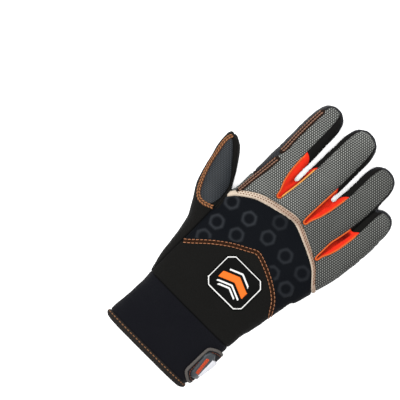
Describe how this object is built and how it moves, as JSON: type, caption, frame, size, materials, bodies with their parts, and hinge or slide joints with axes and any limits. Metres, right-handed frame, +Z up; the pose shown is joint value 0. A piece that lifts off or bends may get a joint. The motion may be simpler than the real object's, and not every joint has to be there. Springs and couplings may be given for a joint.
{
  "type": "anti vibration work glove",
  "caption": "Right-hand padded work glove lying palm down: knitted back, stretch side walls and webs, moulded knuckle panel, cushioned leather palm and strapped cuff, hollow inside.",
  "frame": {"origin": "middle of the glove's footprint, on the surface that it lies on", "axes": "+Y towards the fingertips, +X towards the little finger, +Z up out of the back of the hand"},
  "size_m": [0.1502, 0.254, 0.0396],
  "materials": {
    "leather": "matt pebbled synthetic leather",
    "knit": "ribbed two-tone grey knit",
    "stretch": "smooth stretch cloth",
    "neoprene": "cloth-faced foam",
    "gusset": "bright stretch cloth",
    "tape": "stitched binding tape",
    "trim": "piped strap cloth",
    "rubber": "textured moulded rubber",
    "label": "woven satin",
    "print": "heat-sealed film"
  },
  "bodies": {
    "root": {"palm_leather": "leather", "upper_palm_pad": "leather", "heel_pad": "leather", "thumb_pad": "leather", "thumb_patch": "leather", "knit_back": "knit", "knit_tape": "tape", "cuff_binding": "tape", "index_middle_gusset": "gusset", "middle_ring_gusset": "gusset", "ring_little_gusset": "gusset", "index_sidewall": "stretch", "middle_sidewall": "stretch", "ring_sidewall": "stretch", "little_sidewall": "stretch", "hand_back_panel": "stretch", "thumb_panel": "stretch", "knuckle_panel": "neoprene", "cuff": "neoprene", "wrist_strap": "trim", "strap_insert": "rubber", "strap_block": "rubber", "pull_label": "label", "badge": "print"}
  },
  "joints": []
}
